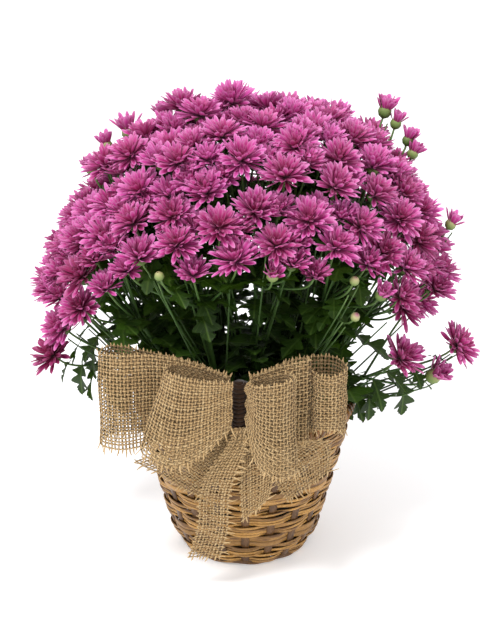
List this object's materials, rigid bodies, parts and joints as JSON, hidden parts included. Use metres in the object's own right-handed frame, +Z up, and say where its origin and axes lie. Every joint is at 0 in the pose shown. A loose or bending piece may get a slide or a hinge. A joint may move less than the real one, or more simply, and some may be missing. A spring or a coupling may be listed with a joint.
{
  "type": "potted chrysanthemum",
  "caption": "Pot chrysanthemum: a dome of double magenta blooms over lobed leaves, in a soil-filled grower's pot inside a woven basket with a jute bow.",
  "frame": {"origin": "centre of the basket's flat base, on the surface it rests on", "axes": "+Z up the plant, -Y towards the bow at the front, +X to the right as the bow is faced"},
  "size_m": [0.364, 0.3018, 0.3978],
  "materials": {
    "basket_base_splint": "split bamboo, dull, darker where it meets the floor",
    "basket_splint": "split bamboo strands, satin, with dark nodes",
    "basket_rim_cane": "wrapped cane, satin",
    "grower_pot_plastic": "thin moulded plastic, matt dark green-black",
    "potting_soil": null,
    "leaf_and_stem": null,
    "petals": null,
    "burlap": "loose plain-woven jute, dry and matt, frayed edges",
    "tie_jute": "twisted jute over wire, matt"
  },
  "bodies": {
    "root": {"basket_base": "basket_base_splint", "basket_wall": "basket_splint", "basket_rim": "basket_rim_cane", "grower_pot": "grower_pot_plastic", "soil": "potting_soil", "leafy_stem_01": "leaf_and_stem", "bloom_spray_01": "petals", "leafy_stem_02": "leaf_and_stem", "bloom_spray_02": "petals", "leafy_stem_03": "leaf_and_stem", "bloom_spray_03": "petals", "leafy_stem_04": "leaf_and_stem", "bloom_spray_04": "petals", "leafy_stem_05": "leaf_and_stem", "bloom_spray_05": "petals", "leafy_stem_06": "leaf_and_stem", "bloom_spray_06": "petals", "leafy_stem_07": "leaf_and_stem", "bloom_spray_07": "petals", "leafy_stem_08": "leaf_and_stem", "bloom_spray_08": "petals", "leafy_stem_09": "leaf_and_stem", "bloom_spray_09": "petals", "leafy_stem_10": "leaf_and_stem", "bloom_spray_10": "petals", "leafy_stem_11": "leaf_and_stem", "bloom_spray_11": "petals", "leafy_stem_12": "leaf_and_stem", "bloom_spray_12": "petals", "leafy_stem_13": "leaf_and_stem", "bloom_spray_13": "petals", "leafy_stem_14": "leaf_and_stem", "bloom_spray_14": "petals", "leafy_stem_15": "leaf_and_stem", "bloom_spray_15": "petals", "leafy_stem_16": "leaf_and_stem", "bloom_spray_16": "petals", "bow_loop_left_front": "burlap", "bow_loop_left_back": "burlap", "bow_loop_right_front": "burlap", "bow_loop_right_middle": "burlap", "bow_loop_right_back": "burlap", "bow_tail_left": "burlap", "bow_tail_long": "burlap", "bow_tail_middle": "burlap", "bow_tail_right": "burlap", "bow_tie": "tie_jute"}
  },
  "joints": []
}
